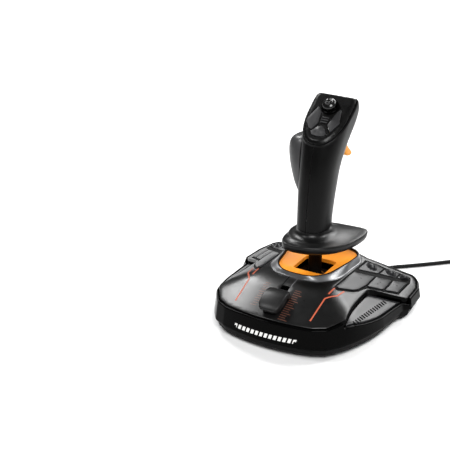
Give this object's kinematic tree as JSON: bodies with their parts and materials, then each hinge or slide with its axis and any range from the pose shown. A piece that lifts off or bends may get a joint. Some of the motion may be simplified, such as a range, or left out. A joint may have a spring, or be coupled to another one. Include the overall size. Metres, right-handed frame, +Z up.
{
  "type": "flight joystick",
  "caption": "Desktop flight joystick with a weighted base, tilting and twisting grip with trigger, hat and thumb buttons, button wings, a throttle slider and a coiled USB lead.",
  "frame": {"origin": "centre of the base footprint, at table height", "axes": "+Z up, +X to the right of the player, +Y away from the player"},
  "size_m": [0.2793, 0.3352, 0.2318],
  "materials": {
    "shell_black": "fine satin spark texture",
    "band_gloss": "piano black",
    "tray_black": "fine texture",
    "collar_silver": "silver-grey paint",
    "dish_orange": "translucent orange, lit from behind",
    "panel_grey": "satin grey paint",
    "rubber": "moulded",
    "steel": "zinc plated",
    "ballast_iron": "cast plate",
    "board_green": "solder mask",
    "key_grey": "satin",
    "cord_black": "PVC jacket",
    "grip_black": "satin",
    "thumb_rest_grey": "satin",
    "head_black": "semi gloss",
    "trigger_orange": "moulded in colour",
    "hat_black": "satin",
    "knob_black": "satin"
  },
  "bodies": {
    "base": {"lower_tray": "tray_black", "skirt_band": "band_gloss", "upper_shell": "shell_black", "collar_ring": "collar_silver", "light_dish": "dish_orange", "left_side_panel": "panel_grey", "right_side_panel": "panel_grey", "left_button_frame": "shell_black", "right_button_frame": "shell_black", "foot_front_left": "rubber", "foot_front_right": "rubber", "foot_rear_left": "rubber", "foot_rear_right": "rubber", "tray_screw_front": "steel", "tray_screw_left": "steel", "tray_screw_right": "steel", "ballast_left": "ballast_iron", "ballast_right": "ballast_iron", "main_board": "board_green", "gimbal_frame": "tray_black", "pitch_spring": "steel", "cord_gland": "rubber", "cord_lead": "cord_black", "cord_coil": "cord_black", "cord_tie": "rubber", "usb_plug_body": "cord_black", "usb_plug_shell": "steel"},
    "gimbal": {"gimbal_ring": "key_grey", "roll_spring": "steel"},
    "stick": {"stick_shaft": "tray_black", "sensor_magnet": "steel"},
    "grip": {"grip_left_shell": "grip_black", "grip_right_shell": "grip_black", "thumb_rest": "thumb_rest_grey", "palm_rest": "grip_black", "head_cover": "head_black", "hat_collar": "band_gloss", "trigger_pin": "steel", "twist_bearing": "steel", "grip_board": "board_green"},
    "trigger": {"trigger": "trigger_orange"},
    "hat_spider": {"hat_spider": "tray_black"},
    "hat_cap": {"hat_cap": "hat_black"},
    "slider": {"slider_knob": "knob_black", "slider_carriage": "tray_black"},
    "thumb_button_left": {"thumb_button_left": "key_grey"},
    "thumb_button_right": {"thumb_button_right": "key_grey"},
    "thumb_button_centre": {"thumb_button_centre": "key_grey"},
    "left_key_front_inner": {"left_key_front_inner": "key_grey"},
    "left_key_front_middle": {"left_key_front_middle": "key_grey"},
    "left_key_front_outer": {"left_key_front_outer": "key_grey"},
    "left_key_rear_inner": {"left_key_rear_inner": "key_grey"},
    "left_key_rear_middle": {"left_key_rear_middle": "key_grey"},
    "left_key_rear_outer": {"left_key_rear_outer": "key_grey"},
    "right_key_front_inner": {"right_key_front_inner": "key_grey"},
    "right_key_front_middle": {"right_key_front_middle": "key_grey"},
    "right_key_front_outer": {"right_key_front_outer": "key_grey"},
    "right_key_rear_inner": {"right_key_rear_inner": "key_grey"},
    "right_key_rear_middle": {"right_key_rear_middle": "key_grey"},
    "right_key_rear_outer": {"right_key_rear_outer": "key_grey"}
  },
  "joints": [
    {"name": "stick_pitch", "type": "hinge", "parent": "base", "child": "gimbal", "pos_m": [0, 0.0203, 0.031], "axis": [1, 0, 0], "range_deg": [-15, 15], "stiffness_Nm_per_rad": 2.5},
    {"name": "stick_roll", "type": "hinge", "parent": "gimbal", "child": "stick", "pos_m": [0, 0.0203, 0.031], "axis": [0, 1, 0], "range_deg": [-15, 15], "stiffness_Nm_per_rad": 2.5},
    {"name": "grip_twist", "type": "hinge", "parent": "stick", "child": "grip", "pos_m": [0, 0.0203, 0.1], "axis": [0, 0, 1], "range_deg": [-20, 20], "stiffness_Nm_per_rad": 0.6},
    {"name": "trigger_pull", "type": "hinge", "parent": "grip", "child": "trigger", "pos_m": [0, 0.0598, 0.203], "axis": [-1, 0, 0], "range_deg": [0, 7], "stiffness_Nm_per_rad": 1, "springref_deg": -2.86},
    {"name": "hat_pitch", "type": "hinge", "parent": "grip", "child": "hat_spider", "pos_m": [0, 0.04498, 0.22011], "axis": [1, 0, 0], "range_deg": [-7, 7], "stiffness_Nm_per_rad": 0.05},
    {"name": "hat_roll", "type": "hinge", "parent": "hat_spider", "child": "hat_cap", "pos_m": [0, 0.04498, 0.22011], "axis": [0, 0.8192, 0.5736], "range_deg": [-7, 7], "stiffness_Nm_per_rad": 0.05},
    {"name": "slider_travel", "type": "slide", "parent": "base", "child": "slider", "axis": [0, 0.9317, 0.3633], "range_m": [-0.002, 0.018]},
    {"name": "thumb_left_press", "type": "slide", "parent": "grip", "child": "thumb_button_left", "axis": [0, 0.5736, -0.8192], "range_m": [0, 0.0012], "stiffness_N_per_m": 500, "springref_m": -0.0006},
    {"name": "thumb_right_press", "type": "slide", "parent": "grip", "child": "thumb_button_right", "axis": [0, 0.5736, -0.8192], "range_m": [0, 0.0012], "stiffness_N_per_m": 500, "springref_m": -0.0006},
    {"name": "thumb_centre_press", "type": "slide", "parent": "grip", "child": "thumb_button_centre", "axis": [0, 0.5736, -0.8192], "range_m": [0, 0.0012], "stiffness_N_per_m": 500, "springref_m": -0.0006},
    {"name": "left_front_inner_press", "type": "slide", "parent": "base", "child": "left_key_front_inner", "axis": [0.4401, -0.0529, -0.8964], "range_m": [0, 0.0012], "stiffness_N_per_m": 500, "springref_m": -0.0006},
    {"name": "left_front_middle_press", "type": "slide", "parent": "base", "child": "left_key_front_middle", "axis": [0.4401, -0.0529, -0.8964], "range_m": [0, 0.0012], "stiffness_N_per_m": 500, "springref_m": -0.0006},
    {"name": "left_front_outer_press", "type": "slide", "parent": "base", "child": "left_key_front_outer", "axis": [0.4401, -0.0529, -0.8964], "range_m": [0, 0.0012], "stiffness_N_per_m": 500, "springref_m": -0.0006},
    {"name": "left_rear_inner_press", "type": "slide", "parent": "base", "child": "left_key_rear_inner", "axis": [0.4401, -0.0529, -0.8964], "range_m": [0, 0.0012], "stiffness_N_per_m": 500, "springref_m": -0.0006},
    {"name": "left_rear_middle_press", "type": "slide", "parent": "base", "child": "left_key_rear_middle", "axis": [0.4401, -0.0529, -0.8964], "range_m": [0, 0.0012], "stiffness_N_per_m": 500, "springref_m": -0.0006},
    {"name": "left_rear_outer_press", "type": "slide", "parent": "base", "child": "left_key_rear_outer", "axis": [0.4401, -0.0529, -0.8964], "range_m": [0, 0.0012], "stiffness_N_per_m": 500, "springref_m": -0.0006},
    {"name": "right_front_inner_press", "type": "slide", "parent": "base", "child": "right_key_front_inner", "axis": [-0.4401, -0.0529, -0.8964], "range_m": [0, 0.0012], "stiffness_N_per_m": 500, "springref_m": -0.0006},
    {"name": "right_front_middle_press", "type": "slide", "parent": "base", "child": "right_key_front_middle", "axis": [-0.4401, -0.0529, -0.8964], "range_m": [0, 0.0012], "stiffness_N_per_m": 500, "springref_m": -0.0006},
    {"name": "right_front_outer_press", "type": "slide", "parent": "base", "child": "right_key_front_outer", "axis": [-0.4401, -0.0529, -0.8964], "range_m": [0, 0.0012], "stiffness_N_per_m": 500, "springref_m": -0.0006},
    {"name": "right_rear_inner_press", "type": "slide", "parent": "base", "child": "right_key_rear_inner", "axis": [-0.4401, -0.0529, -0.8964], "range_m": [0, 0.0012], "stiffness_N_per_m": 500, "springref_m": -0.0006},
    {"name": "right_rear_middle_press", "type": "slide", "parent": "base", "child": "right_key_rear_middle", "axis": [-0.4401, -0.0529, -0.8964], "range_m": [0, 0.0012], "stiffness_N_per_m": 500, "springref_m": -0.0006},
    {"name": "right_rear_outer_press", "type": "slide", "parent": "base", "child": "right_key_rear_outer", "axis": [-0.4401, -0.0529, -0.8964], "range_m": [0, 0.0012], "stiffness_N_per_m": 500, "springref_m": -0.0006}
  ]
}
